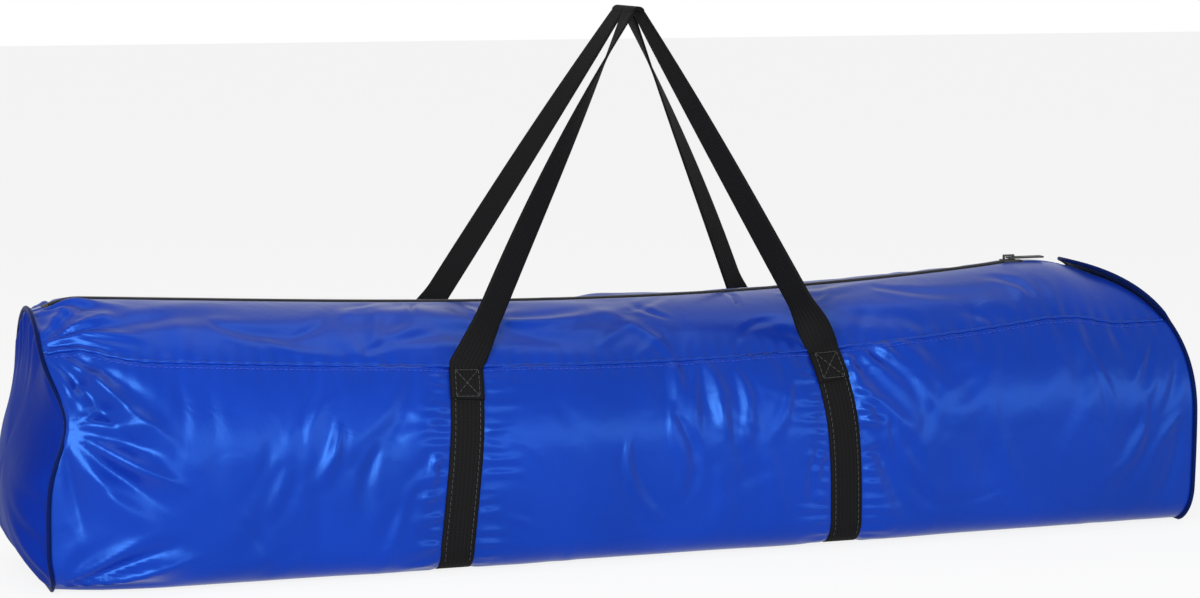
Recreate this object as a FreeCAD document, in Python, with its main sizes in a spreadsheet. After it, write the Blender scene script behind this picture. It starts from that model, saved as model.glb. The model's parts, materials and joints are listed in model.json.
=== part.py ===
"""Agility tunnel packed in its carry bag.

Frame: millimetres, +X along the bag towards the slumped end, -Y the front, +Z up.
The origin is the middle of the bag's underside.

The bag's cross-section is a D lying on its flat: flat base, upright walls, and on each
side a wall arc that runs tangent into one crown arc. The seam is where those arcs meet.
The tunnel inside is a steel helix squeezed to long flat turns, with pleated fabric.
"""
import FreeCAD, Part
import math
import os

os.makedirs("parts", exist_ok=True)
doc = FreeCAD.newDocument("agility_tunnel")
V = FreeCAD.Vector

SIZES = {
    # the bag
    "bag_length": 920,
    "bag_width": 190,
    "bag_height": 206,
    "wall_height": 92,
    "base_corner": 18,
    "seam_angle": 34,
    "fabric": 1.2,
    "layer_gap": 0.2,
    "slump_run": 95,
    "slump_drop": 125,
    "piping_width": 4,
    "binding_width": 8,
    "binding_thickness": 1.6,
    # the webbing
    "strap_width": 25,
    "strap_thickness": 1.6,
    "band_spacing": 301,
    "apex_height": 412,
    "apex_offset": 10,
    "apex_width": 24,
    "crotch_depth": 40,
    "handle_play": 0.3,
    # the zip
    "mouth_width": 13,
    "tape_width": 15,
    "tape_thickness": 0.6,
    "tape_slot": 1.4,
    "coil_width": 2.6,
    "coil_height": 2,
    "coil_gap": 0.05,
    "zip_margin": 14,
    "stop_length": 5,
    "slider_length": 12,
    "slider_plate": 1.4,
    "slider_play": 0.3,
    "slider_neck": 0.8,
    "lug_height": 4,
    "lug_width": 2.4,
    "lug_wall": 1.2,
    "pull_length": 30,
    "pull_width": 8,
    "pull_thickness": 1.4,
    "window_length": 12,
    # the packed tunnel
    "wire_diameter": 2.5,
    "turn_count": 16,
    "turn_pitch": 8,
    "turn_length": 850,
    "turn_height": 150,
    "step_bend": 35,
    "pleat_depth": 40,
    "pleat_thickness": 0.8,
    "cover_play": 0.9,
    "mouth_tape": 20,
    "cap_length": 18,
    "cap_wall": 0.6,
    "cap_play": 0.1,
    "tie_spacing": 380,
    "tie_width": 20,
    "tie_thickness": 1.5,
    "buckle_length": 30,
    "buckle_width": 28,
    "buckle_thickness": 6,
    "loop_width": 20,
    "loop_reach": 26,
    "peg_count": 4,
    "peg_diameter": 5,
    "peg_length": 170,
    "peg_spacing": 12,
    "peg_hook": 7,
    "hook_diameter": 4,
    "pouch_wall": 1,
}

sheet = doc.addObject("Spreadsheet::Sheet", "sizes")
for row, (name, number) in enumerate(SIZES.items(), start=1):
    sheet.set("A%d" % row, name)
    sheet.set("B%d" % row, str(number))
    sheet.setAlias("B%d" % row, name)
doc.recompute()


def size(name):
    """The number that the sheet holds under this name."""
    return float(sheet.get(name))


# ---------------------------------------------------------------- the bag's cross-section
strap = size("strap_thickness")
gap = size("layer_gap")
fabric = size("fabric")
base_z = gap + strap                       # the fabric's underside rides on the webbing
half_width = size("bag_width") / 2
wall_z = size("wall_height")
seam_angle = math.radians(size("seam_angle"))
spread = (size("bag_height") - wall_z - half_width) / (1 - math.cos(seam_angle) - math.sin(seam_angle))
wall_radius = half_width - spread * math.cos(seam_angle)
crown_radius = wall_radius + spread
crown_z = size("bag_height") - crown_radius
corner = size("base_corner")


def on_arc(centre_y, centre_z, radius, angle):
    return V(centre_y + radius * math.cos(angle), centre_z + radius * math.sin(angle), 0)


def arc(centre_y, centre_z, radius, first, last):
    """An arc in a section's own plane, from one angle to another."""
    points = [on_arc(centre_y, centre_z, radius, first + (last - first) * k / 2) for k in range(3)]
    return Part.Arc(*points)


def wall_arc(side, offset, end_angle):
    """The upper wall of one side (+1 rear, -1 front), from the upright wall to end_angle."""
    centre = side * (half_width - wall_radius)
    if side > 0:
        return arc(centre, wall_z, wall_radius + offset, 0, end_angle)
    return arc(centre, wall_z, wall_radius + offset, math.pi, math.pi - end_angle)


def ends(curve):
    return curve.StartPoint, curve.EndPoint


def under_path(offset, end_angle):
    """The D from one seam down, under the bag and up to the other, offset outwards."""
    front = wall_arc(-1, offset, end_angle)
    rear = wall_arc(1, offset, end_angle)
    low = base_z + corner
    front_corner = arc(-half_width + corner, low, corner + offset, math.pi, 1.5 * math.pi)
    rear_corner = arc(half_width - corner, low, corner + offset, -0.5 * math.pi, 0)
    pieces = [front]
    pieces.append(Part.LineSegment(ends(front)[0], front_corner.StartPoint))
    pieces.append(front_corner)
    pieces.append(Part.LineSegment(front_corner.EndPoint, rear_corner.StartPoint))
    pieces.append(rear_corner)
    pieces.append(Part.LineSegment(rear_corner.EndPoint, ends(rear)[0]))
    pieces.append(rear)
    return pieces, front.EndPoint, rear.EndPoint


def closed_outline(offset):
    """The whole D, offset outwards."""
    crown = arc(0, crown_z, crown_radius + offset, seam_angle, math.pi - seam_angle)
    return under_path(offset, seam_angle)[0] + [crown]


def under_strip(inner, outer, end_angle):
    """A strip that follows the D from seam to seam, between two offsets."""
    inside, inside_front, inside_rear = under_path(inner, end_angle)
    outside, outside_front, outside_rear = under_path(outer, end_angle)
    closing = [Part.LineSegment(inside_front, outside_front), Part.LineSegment(inside_rear, outside_rear)]
    return inside + outside + closing


def crown_strip(side, inner, outer, low_angle, high_angle):
    """A strip of the crown on one side, between two offsets and two angles from level."""
    first, last = low_angle, high_angle
    if side < 0:
        first, last = math.pi - low_angle, math.pi - high_angle
    inside = arc(0, crown_z, crown_radius + inner, first, last)
    outside = arc(0, crown_z, crown_radius + outer, first, last)
    closing = [
        Part.LineSegment(inside.StartPoint, outside.StartPoint),
        Part.LineSegment(inside.EndPoint, outside.EndPoint),
    ]
    return [inside, outside] + closing


def crown_angle(offset, half_chord):
    """How far round the crown an edge lies that is half_chord from the middle."""
    return math.pi / 2 - math.asin(half_chord / (crown_radius + offset))


def rectangle(left, low, right, high):
    corners = [V(left, low, 0), V(right, low, 0), V(right, high, 0), V(left, high, 0)]
    return [Part.LineSegment(corners[k], corners[(k + 1) % 4]) for k in range(4)]


def polygon(points):
    points = [V(x, z, 0) for x, z in points]
    return [Part.LineSegment(points[k], points[(k + 1) % len(points)]) for k in range(len(points))]


# ---------------------------------------------------------------- PartDesign helpers
THROUGH = "4 * sizes.bag_length"           # longer than any piece that is cut


def new_body(label):
    body = doc.addObject("PartDesign::Body", label)
    body.Label = label
    return body


def add_sketch(body, name, plane, geometry):
    """A sketch on one of the body's own origin planes."""
    sketch = body.newObject("Sketcher::SketchObject", name)
    origin = [item for item in body.Origin.OriginFeatures if item.Role == plane][0]
    sketch.AttachmentSupport = [(origin, "")]
    sketch.MapMode = "FlatFace"
    sketch.addGeometry(geometry, False)
    return sketch


def add_pad(body, sketch, length, symmetric=True):
    """Pad a sketch by an expression of the sheet's names."""
    pad = body.newObject("PartDesign::Pad", sketch.Name + "_pad")
    pad.Profile = sketch
    pad.SideType = "Symmetric" if symmetric else "One side"
    pad.setExpression("Length", length)
    body.Tip = pad
    doc.recompute()
    return pad


def add_cut(body, sketch):
    """Cut a sketch right through the body, both ways."""
    before = body.Shape.Volume
    cut = body.newObject("PartDesign::Pocket", sketch.Name + "_cut")
    cut.Profile = sketch
    cut.SideType = "Symmetric"
    cut.setExpression("Length", THROUGH)
    body.Tip = cut
    doc.recompute()
    if body.Shape.Volume >= before:
        raise RuntimeError(body.Label + ": the cut took nothing away")
    return cut


# ---------------------------------------------------------------- the bag's side profile
half_length = size("bag_length") / 2
slump_drop = size("slump_drop")
slump_run = size("slump_run")
slump_radius = (slump_run ** 2 + slump_drop ** 2) / (2 * slump_run)
slump_x = half_length - slump_radius
slump_z = size("bag_height") - slump_drop
FAR = 3 * size("bag_length")


def everything():
    """A square far larger than the bag, round what a cut leaves."""
    return rectangle(-2 * FAR, -2 * FAR, 2 * FAR, 2 * FAR)


def slump_side(inset):
    """The slumped end from below the floor up: upright, then leaning over to the crown."""
    lean = arc(slump_x, slump_z, slump_radius - inset, 0, math.pi / 2)
    return [Part.LineSegment(V(half_length - inset, -FAR, 0), lean.StartPoint), lean]


def beyond_the_ends(inset):
    """All that lies outside the bag's side profile, as one closed region."""
    upright, lean = slump_side(inset)
    left = -half_length + inset
    around = [
        Part.LineSegment(lean.EndPoint, V(slump_x, FAR, 0)),
        Part.LineSegment(V(slump_x, FAR, 0), V(left, FAR, 0)),
        Part.LineSegment(V(left, FAR, 0), V(left, -FAR, 0)),
        Part.LineSegment(V(left, -FAR, 0), upright.StartPoint),
    ]
    return [upright, lean] + around + everything()


def slump_strip(outer_inset, inner_inset):
    """A strip between two insets of the slumped end."""
    outer = slump_side(outer_inset)
    inner = slump_side(inner_inset)
    low_end = Part.LineSegment(outer[0].StartPoint, inner[0].StartPoint)
    crown_end = Part.LineSegment(outer[1].EndPoint, inner[1].EndPoint)
    return outer + inner + [low_end, crown_end]


def trim_to_ends(body):
    """Cut a lengthwise piece back to just inside the two end panels."""
    add_cut(body, add_sketch(body, body.Label + "_ends", "XZ_Plane", beyond_the_ends(fabric + gap)))


# ---------------------------------------------------------------- the bag's fabric
def make_long_piece(label, section, length="sizes.bag_length", trimmed=True):
    body = new_body(label)
    add_pad(body, add_sketch(body, label + "_section", "YZ_Plane", section), length)
    if trimmed:
        trim_to_ends(body)
    return body


mouth_half = size("mouth_width") / 2
seam_clearance = gap / wall_radius


def make_panels():
    make_long_piece("main_panel", under_strip(-fabric, 0, seam_angle - seam_clearance))
    edge = crown_angle(0, mouth_half)
    for label, side in (("front_top_panel", -1), ("rear_top_panel", 1)):
        make_long_piece(label, crown_strip(side, -fabric, 0, seam_angle + seam_clearance, edge))


def make_left_end():
    panel = new_body("left_end_panel")
    panel.setExpression(".Placement.Base.x", "-sizes.bag_length / 2")
    outline = add_sketch(panel, "left_end_outline", "YZ_Plane", closed_outline(0))
    add_pad(panel, outline, "sizes.fabric", False)
    piping = new_body("left_end_piping")
    piping.setExpression(".Placement.Base.x", "-sizes.bag_length / 2")
    ring = closed_outline(gap) + closed_outline(gap + strap)
    outline = add_sketch(piping, "left_piping_ring", "YZ_Plane", ring)
    add_pad(piping, outline, "sizes.piping_width", False)


def make_right_end():
    """The slumped end: strips of its side profile, kept inside or just outside the D."""
    panel = new_body("right_end_panel")
    strip = slump_strip(0, fabric)
    add_pad(panel, add_sketch(panel, "right_end_profile", "XZ_Plane", strip), "2 * sizes.bag_width")
    outside = closed_outline(0) + everything()
    add_cut(panel, add_sketch(panel, "right_end_outside", "YZ_Plane", outside))
    piping = new_body("right_end_piping")
    strip = slump_strip(0, size("piping_width"))
    add_pad(piping, add_sketch(piping, "right_piping_profile", "XZ_Plane", strip), "2 * sizes.bag_width")
    beyond = closed_outline(gap + strap) + everything()
    add_cut(piping, add_sketch(piping, "right_piping_outside", "YZ_Plane", beyond))
    add_cut(piping, add_sketch(piping, "right_piping_inside", "YZ_Plane", closed_outline(gap)))
    clear = size("mouth_width")
    over_zip = rectangle(-clear, size("bag_height") - half_width, clear, FAR)
    add_cut(piping, add_sketch(piping, "right_piping_zip_end", "YZ_Plane", over_zip))


def make_seam_bindings():
    """Tape over each lengthwise seam's allowance, standing inwards from the seam."""
    width = size("binding_width")
    half_thick = size("binding_thickness") / 2
    for label, side in (("front_seam_binding", -1), ("rear_seam_binding", 1)):
        along = V(side * math.cos(seam_angle), math.sin(seam_angle), 0)
        across = V(-along.y, along.x, 0)
        top = V(0, crown_z, 0) + along * (crown_radius - fabric - gap)
        corners = []
        for depth, way in ((0, -1), (0, 1), (width, 1), (width, -1)):
            point = top - along * depth + across * (way * half_thick)
            corners.append((point.x, point.y))
        make_long_piece(label, polygon(corners))


# ---------------------------------------------------------------- the webbing
handle_gap = size("handle_play")
swing_offset = gap + strap + handle_gap + strap / 2     # the foot of each handle lies on its bands' ends


def make_bands():
    for label, side in (("left_band", -1), ("right_band", 1)):
        section = under_strip(gap, gap + strap, seam_angle - seam_clearance)
        band = make_long_piece(label, section, "sizes.strap_width", False)
        band.setExpression(".Placement.Base.x", "%d * sizes.band_spacing / 2" % side)


seam_y = (crown_radius + swing_offset) * math.cos(seam_angle)
seam_z = crown_z + (crown_radius + swing_offset) * math.sin(seam_angle)
handle_rise = size("apex_height") - seam_z
handle_slant = math.hypot(seam_y, handle_rise)
handle_lean = math.atan2(seam_y, handle_rise) - math.asin((strap + handle_gap) / 2 / handle_slant)


def make_handles():
    """Each handle is flat webbing in one plane that leans in from its seam to the apex."""
    half_strap = size("strap_width") / 2
    foot = size("band_spacing") / 2
    apex = size("apex_offset")
    half_apex = size("apex_width") / 2
    top = handle_slant
    inner_top = top - size("crotch_depth")
    outline = [
        (-foot - half_strap, 0),
        (-foot + half_strap, 0),
        (apex, inner_top),
        (foot - half_strap, 0),
        (foot + half_strap, 0),
        (apex + half_apex, top),
        (apex - half_apex, top),
    ]
    for label, side in (("front_handle", -1), ("rear_handle", 1)):
        handle = new_body(label)
        sketch = add_sketch(handle, label + "_outline", "XZ_Plane", polygon(outline))
        add_pad(handle, sketch, "sizes.strap_thickness")
        lean = FreeCAD.Rotation(V(1, 0, 0), side * math.degrees(handle_lean))
        handle.Placement = FreeCAD.Placement(V(0, side * seam_y, seam_z), lean)


# ---------------------------------------------------------------- the zip
slot_half = size("tape_slot") / 2
tape_top = -fabric - gap
tape_under = tape_top - size("tape_thickness")
coil_low = tape_top + size("coil_gap")
coil_top = tape_top + size("coil_height")
crown = size("bag_height")
zip_length = size("bag_length") - size("slump_run") - 2 * size("zip_margin")
zip_middle = -size("slump_run") / 2
coil_half = zip_length / 2 - size("stop_length")


def make_zip():
    """Two tapes the length of the crown, each with its coil between the end stops."""
    tape_edge = slot_half + size("tape_width")
    coil_edge = slot_half + size("coil_width")
    for name, side in (("front", -1), ("rear", 1)):
        low, high = crown_angle(tape_top, tape_edge), crown_angle(tape_top, slot_half)
        make_long_piece("zip_tape_" + name, crown_strip(side, tape_under, tape_top, low, high))
        low, high = crown_angle(coil_top, coil_edge), crown_angle(coil_top, slot_half)
        length = "sizes.bag_length - sizes.slump_run - 2 * (sizes.zip_margin + sizes.stop_length)"
        section = crown_strip(side, coil_low, coil_top, low, high)
        coil = make_long_piece("zip_coil_" + name, section, length, False)
        coil.setExpression(".Placement.Base.x", "-sizes.slump_run / 2")


def make_zip_ends():
    """A stop over the coil at each end of the zip, and a fabric tab from there to the bag's end."""
    stops = new_body("zip_stops")
    half = slot_half + size("coil_width")
    block = rectangle(-half, crown + tape_top, half, crown + coil_top)
    length = "sizes.bag_length - sizes.slump_run - 2 * sizes.zip_margin"
    add_pad(stops, add_sketch(stops, "stop_section", "YZ_Plane", block), length)
    reach = coil_half + gap
    between = rectangle(-reach, crown - half_width, reach, crown + half_width)
    add_cut(stops, add_sketch(stops, "stop_between", "XZ_Plane", between))
    stops.setExpression(".Placement.Base.x", "-sizes.slump_run / 2")
    for label, side in (("zip_end_tab_left", -1), ("zip_end_tab_right", 1)):
        edge = crown_angle(0, mouth_half - gap)
        tab = make_long_piece(label, crown_strip(1, coil_low, 0, edge, math.pi - edge))
        inner_end = zip_middle + side * (zip_length / 2 + gap)
        near, far = sorted((inner_end, -side * FAR))
        add_cut(tab, add_sketch(tab, label + "_length", "XZ_Plane", rectangle(near, -FAR, far, FAR)))


play = size("slider_play")
plate = size("slider_plate")
slider_x = zip_middle + coil_half - play - size("slider_length") / 2
plate_low = crown + coil_top + play
plate_high = plate_low + plate
lug_hole = plate_high + (size("lug_height") - size("lug_wall")) / 2


def make_slider():
    """Upper and lower plates joined by a neck that rides in the slot between the coils."""
    body = new_body("zip_slider")
    inner = slot_half + size("coil_width") + play
    outer = inner + size("lug_wall")
    neck = size("slider_neck") / 2
    shoe = crown + tape_top + play
    low = crown + tape_under - play
    right_half = [
        (neck, plate_low), (inner, plate_low), (inner, shoe), (outer, shoe), (outer, plate_high),
    ]
    left_half = [(-y, z) for y, z in right_half[::-1]]
    foot = [
        (-neck, low), (-outer, low), (-outer, low - plate), (outer, low - plate), (outer, low), (neck, low),
    ]
    outline = polygon(right_half + left_half + foot)
    add_pad(body, add_sketch(body, "slider_section", "YZ_Plane", outline), "sizes.slider_length")
    wall = size("lug_wall")
    reach = size("slider_length") / 2 - wall
    top = plate_high + size("lug_height")
    arch = rectangle(-reach, plate_high - plate / 2, reach, top)
    arch += rectangle(-reach + wall, plate_high + gap, reach - wall, top - wall)
    add_pad(body, add_sketch(body, "slider_lug", "XZ_Plane", arch), "sizes.lug_width")
    body.Placement.Base = V(slider_x, 0, 0)


def make_pull():
    """A flat tab whose end bar passes through the slider's lug and turns there."""
    body = new_body("zip_pull")
    bar = size("pull_thickness")
    half = size("pull_width") / 2
    window = size("lug_width") / 2 + play
    outline = rectangle(-bar / 2, -half, size("pull_length"), half)
    outline += rectangle(bar / 2, -window, size("window_length"), window)
    add_pad(body, add_sketch(body, "pull_outline", "XY_Plane", outline), "sizes.pull_thickness")
    body.Placement.Base = V(slider_x, 0, lug_hole)


# ---------------------------------------------------------------- the packed tunnel
wire = size("wire_diameter")
turns = int(size("turn_count"))
pitch = size("turn_pitch")
turn_radius = size("turn_height") / 2 - wire / 2
turn_straight = size("turn_length") / 2 - size("turn_height") / 2
pack_low = base_z + fabric + gap + size("tie_thickness") + gap
turn_z = pack_low + wire / 2 + turn_radius


def turn_y(number):
    """Where across the bag a turn of the wire lies."""
    return (number - (turns - 1) / 2) * pitch


def wire_path():
    """One wire: flat-sided turns that step across by one pitch along each base run."""
    low, high = turn_z - turn_radius, turn_z + turn_radius
    bend = size("step_bend")
    edges = []
    for number in range(turns):
        y = turn_y(number)
        edges.append(Part.LineSegment(V(-turn_straight, y, high), V(turn_straight, y, high)))
        start = V(turn_straight, y, low)
        outermost = V(turn_straight + turn_radius, y, turn_z)
        edges.append(Part.Arc(V(turn_straight, y, high), outermost, start))
        if number == turns - 1:
            edges.append(Part.LineSegment(start, start - V(2 * size("cap_length"), 0, 0)))
            continue
        first = start - V(bend, 0, 0)
        last = V(-turn_straight + bend, y + pitch, low)
        step = (last - first).normalize()
        arrive = first + step * bend
        leave = last - step * bend
        end = V(-turn_straight, y + pitch, low)
        edges.append(bend_arc(start, first, arrive))
        edges.append(Part.LineSegment(arrive, leave))
        edges.append(bend_arc(leave, last, end))
        outermost = V(-turn_straight - turn_radius, y + pitch, turn_z)
        edges.append(Part.Arc(end, outermost, V(-turn_straight, y + pitch, high)))
    return Part.Wire([edge.toShape() for edge in edges])


def bend_arc(start, corner_point, end):
    """The arc tangent to both runs that leave corner_point, equally far along each."""
    reach = (start - corner_point).Length
    inward = ((start - corner_point) + (end - corner_point)).normalize()
    half_turn = math.asin(((start - end).Length / 2) / reach)
    radius = reach * math.tan(half_turn)
    middle = corner_point + inward * (radius / math.sin(half_turn) - radius)
    return Part.Arc(start, middle, end)


def make_feature(label, shape):
    feature = doc.addObject("Part::Feature", label)
    feature.Label = label
    feature.Shape = shape
    return feature


def make_wire():
    path = wire_path()
    first, last = path.OrderedVertexes[0].Point, path.OrderedVertexes[-1].Point
    profile = Part.Wire([Part.Circle(first, V(1, 0, 0), wire / 2).toShape()])
    coil = path.makePipeShell([profile], True, True)
    make_feature("tunnel_wire", coil)
    length_error = coil.Volume / (math.pi * wire ** 2 / 4 * path.Length) - 1
    if abs(length_error) > 0.01:
        raise RuntimeError("tunnel_wire: the swept volume is off by %.3f" % length_error)
    make_wire_caps((first, last))


def make_wire_caps(cut_ends):
    """A thin closed sleeve pushed over each cut end of the wire; both ends point to the left."""
    reach = size("cap_length")
    bore = wire / 2 + size("cap_play")
    inwards = V(1, 0, 0)
    caps = []
    for point in cut_ends:
        closed_end = point - inwards * (gap + size("cap_wall"))
        outside = Part.makeCylinder(bore + size("cap_wall"), reach, closed_end, inwards)
        inside = Part.makeCylinder(bore, reach, point - inwards * gap, inwards)
        caps.append(outside.cut(inside))
    make_feature("wire_end_caps", Part.makeCompound(caps))


def racetrack(label, section):
    """A section (y, height above the turn's middle line) carried round the flat turn."""
    body = new_body(label)
    half = size("turn_length") / 2 - size("turn_height") / 2
    expression = "sizes.turn_length - sizes.turn_height"
    upper = [section_edge(piece, 1) for piece in section]
    lower = [section_edge(piece, -1) for piece in section]
    add_pad(body, add_sketch(body, label + "_upper", "YZ_Plane", upper), expression)
    add_pad(body, add_sketch(body, label + "_lower", "YZ_Plane", lower), expression)
    for name, side in (("left", -1), ("right", 1)):
        profile = add_sketch(body, "%s_%s" % (label, name), "YZ_Plane", upper)
        profile.AttachmentOffset = FreeCAD.Placement(V(0, 0, side * half), FreeCAD.Rotation())
        turn = body.newObject("PartDesign::Revolution", "%s_%s_turn" % (label, name))
        turn.Profile = profile
        turn.ReferenceAxis = (profile, ["H_Axis"])
        turn.Angle = 180
        turn.Reversed = side < 0
        body.Tip = turn
        doc.recompute()
    body.Placement.Base = V(0, 0, turn_z)
    return body


def section_edge(piece, way):
    """One edge of a section, above (+1) or below (-1) the turn's middle line."""
    (y1, z1), (y2, z2) = piece
    return Part.LineSegment(V(y1, way * z1, 0), V(y2, way * z2, 0))


def loop_of(points):
    return [(points[k], points[(k + 1) % len(points)]) for k in range(len(points))]


cover_top = turn_radius - wire / 2 - size("cover_play")
cover_half = (turns - 1) / 2 * pitch


def make_cover():
    """The fabric folds out to every turn of the wire and in between them."""
    thick = size("pleat_thickness")
    deep = size("pleat_depth")
    outer, inner = [], []
    count = 2 * turns - 1
    for k in range(count):
        y = -cover_half + k * pitch / 2
        drop = deep if k % 2 else 0
        outer.append((y, cover_top - drop))
        inner.append((y, cover_top - drop - thick * 2 * deep / pitch))
    racetrack("tunnel_cover", loop_of(outer + inner[::-1]))


def make_mouth_bindings():
    """A bound rim at each mouth, just outside the first and the last turn."""
    for label, side in (("mouth_binding_front", -1), ("mouth_binding_rear", 1)):
        near = side * (cover_half + wire / 2 + size("cover_play"))
        far = near + side * size("tie_thickness")
        low = turn_radius - size("mouth_tape")
        high = turn_radius
        racetrack(label, loop_of([(near, low), (far, low), (far, high), (near, high)]))


def make_ties():
    """A strap round the packed tunnel at each side, closed by a ladder buckle on top."""
    inner_half = cover_half + wire / 2 + 2 * size("cover_play") + size("tie_thickness")
    thick = size("tie_thickness")
    low, high = turn_z - turn_radius - wire / 2 - gap, turn_z + turn_radius + wire / 2 + gap
    for name, side in (("left", -1), ("right", 1)):
        place = "%d * sizes.tie_spacing / 2" % side
        ring = rectangle(-inner_half, low, inner_half, high)
        ring += rectangle(-inner_half - thick, low - thick, inner_half + thick, high + thick)
        strap_body = make_long_piece("tie_strap_" + name, ring, "sizes.tie_width", False)
        strap_body.setExpression(".Placement.Base.x", place)
        buckle = new_body("tie_buckle_" + name)
        half = size("buckle_length") / 2
        base = high + thick + gap
        frame = rectangle(-half, base, half, base + size("buckle_thickness"))
        sketch = add_sketch(buckle, "buckle_%s_section" % name, "YZ_Plane", frame)
        add_pad(buckle, sketch, "sizes.buckle_width")
        slots = []
        for way in (-1, 1):
            middle = way * half / 2
            half_tie = size("tie_width") / 2
            slots += rectangle(-half_tie, middle - thick, half_tie, middle + thick)
        add_cut(buckle, add_sketch(buckle, "buckle_%s_slots" % name, "XY_Plane", slots))
        buckle.setExpression(".Placement.Base.x", place)


def make_peg_loops():
    """Flattened webbing loops sewn to both mouths near the ends, for the ground pegs."""
    thick = size("tie_thickness")
    reach = size("loop_reach")
    near = cover_half + wire / 2 + 2 * size("cover_play") + thick
    loops = []
    for side in (-1, 1):
        for end in (-1, 1):
            low_y = min(side * near, side * (near + 2 * thick))
            x = end * turn_straight - size("loop_width") / 2
            loop = Part.makeBox(size("loop_width"), 2 * thick, reach, V(x, low_y, pack_low + thick))
            hole = Part.makeBox(size("loop_width") - 4 * thick, 2 * thick, reach - 4 * thick,
                                V(x + 2 * thick, low_y, pack_low + 3 * thick))
            loops.append(loop.cut(hole))
    make_feature("peg_loops", Part.makeCompound(loops))


def make_pegs():
    """Hook-headed steel pegs side by side in a pouch that lies on the packed tunnel."""
    wall = size("pouch_wall")
    radius = size("peg_diameter") / 2
    length, spacing = size("peg_length"), size("peg_spacing")
    count = int(size("peg_count"))
    across = (count - 1) * spacing + size("peg_hook") + radius + 2 * gap
    low = turn_z + turn_radius + wire / 2 + gap
    inside = V(length + 2 * gap, across, size("peg_diameter") + 2 * gap)
    start = V(-inside.x / 2, -across / 2, low + wall)
    outside = inside + V(2 * wall, 2 * wall, 2 * wall)
    shell = Part.makeBox(outside.x, outside.y, outside.z, start - V(wall, wall, wall))
    make_feature("peg_pouch", shell.cut(Part.makeBox(inside.x, inside.y, inside.z, start)))
    pegs = []
    for number in range(count):
        foot = start + V(gap, gap + radius + number * spacing, gap + radius)
        shank = Part.makeCylinder(radius, length, foot, V(1, 0, 0))
        bend = foot + V(length - radius, 0, 0)
        hook = Part.makeCylinder(size("hook_diameter") / 2, size("peg_hook"), bend, V(0, 1, 0))
        pegs.append(shank.fuse(hook).removeSplitter())
    make_feature("ground_pegs", Part.makeCompound(pegs))


def check_and_export():
    """Every object recomputed and every sub-part sound, then one STEP file each."""
    doc.recompute()
    for item in doc.Objects:
        if "Invalid" in item.State or "Error" in item.State:
            raise RuntimeError("%s did not compute: %s" % (item.Label, item.State))
    pieces = [item for item in doc.Objects if item.TypeId in ("PartDesign::Body", "Part::Feature")]
    for piece in pieces:
        if piece.Shape.isNull() or not piece.Shape.isValid() or not piece.Shape.Solids:
            raise RuntimeError(piece.Label + " is not a sound solid")
    for piece in pieces:
        piece.Shape.exportStep("parts/%s.step" % piece.Label)
        print("%-22s %3d solids %12.1f mm3" % (piece.Label, len(piece.Shape.Solids), piece.Shape.Volume))


def print_joint_places():
    """The places and limits that the record's joints state."""
    print("handles swing about y %.3f z %.3f" % (seam_y, seam_z))
    print("slider at x %.3f, free over %.3f" % (slider_x, 2 * coil_half))
    print("pull turns about z %.3f" % lug_hole)


make_panels()
make_left_end()
make_right_end()
make_seam_bindings()
make_bands()
make_handles()
make_zip()
make_zip_ends()
make_slider()
make_pull()
make_wire()
make_cover()
make_mouth_bindings()
make_ties()
make_peg_loops()
make_pegs()
check_and_export()
print_joint_places()
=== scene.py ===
"""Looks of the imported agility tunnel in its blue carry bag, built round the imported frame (metres)."""
import bmesh
import bpy
import json
import math
import random
import numpy as np
from mathutils import Matrix, Vector


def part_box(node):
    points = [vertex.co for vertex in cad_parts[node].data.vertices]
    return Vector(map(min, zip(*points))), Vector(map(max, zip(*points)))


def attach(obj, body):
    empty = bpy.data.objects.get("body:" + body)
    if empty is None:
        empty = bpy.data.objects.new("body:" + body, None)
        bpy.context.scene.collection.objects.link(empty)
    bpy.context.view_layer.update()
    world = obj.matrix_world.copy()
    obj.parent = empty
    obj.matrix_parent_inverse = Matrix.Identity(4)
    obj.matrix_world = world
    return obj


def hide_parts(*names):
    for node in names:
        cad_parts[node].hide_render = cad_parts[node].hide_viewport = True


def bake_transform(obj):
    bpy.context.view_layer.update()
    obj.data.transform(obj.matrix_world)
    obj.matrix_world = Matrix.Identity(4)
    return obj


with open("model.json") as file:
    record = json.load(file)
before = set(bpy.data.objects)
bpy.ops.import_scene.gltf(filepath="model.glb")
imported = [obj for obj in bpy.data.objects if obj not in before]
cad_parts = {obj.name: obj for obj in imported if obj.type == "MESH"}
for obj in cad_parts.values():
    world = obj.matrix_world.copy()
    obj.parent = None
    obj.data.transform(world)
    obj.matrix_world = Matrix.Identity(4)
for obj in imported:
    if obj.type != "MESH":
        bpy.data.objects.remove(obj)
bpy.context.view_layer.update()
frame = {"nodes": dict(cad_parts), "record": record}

# ------------------------------------------------------------------ sizes, from the frame
END_LOW, END_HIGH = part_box("left_end_panel")
MAIN_LOW, MAIN_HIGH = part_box("main_panel")
RIGHT_LOW, RIGHT_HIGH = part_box("right_end_panel")
BAND_LOW, BAND_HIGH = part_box("left_band")
ZIP_LOW, ZIP_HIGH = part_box("zip_coil_front")
LEFT_X = END_LOW[0]
RIGHT_X = RIGHT_HIGH[0]
HALF_WIDTH = MAIN_HIGH[1]
BASE_Z = MAIN_LOW[2]
TOP_Z = END_HIGH[2]
SEAM_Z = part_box("front_top_panel")[0][2]
APEX_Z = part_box("front_handle")[1][2]
ZIP_LEFT = ZIP_LOW[0]
ZIP_RIGHT = ZIP_HIGH[0]
CROWN_START_X = LEFT_X + 0.006
CROWN_END_X = RIGHT_LOW[0] + 0.020
BAND_X = {"left": (BAND_LOW[0] + BAND_HIGH[0]) / 2, "right": -(BAND_LOW[0] + BAND_HIGH[0]) / 2}
STRAP = BAND_HIGH[0] - BAND_LOW[0]

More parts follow.
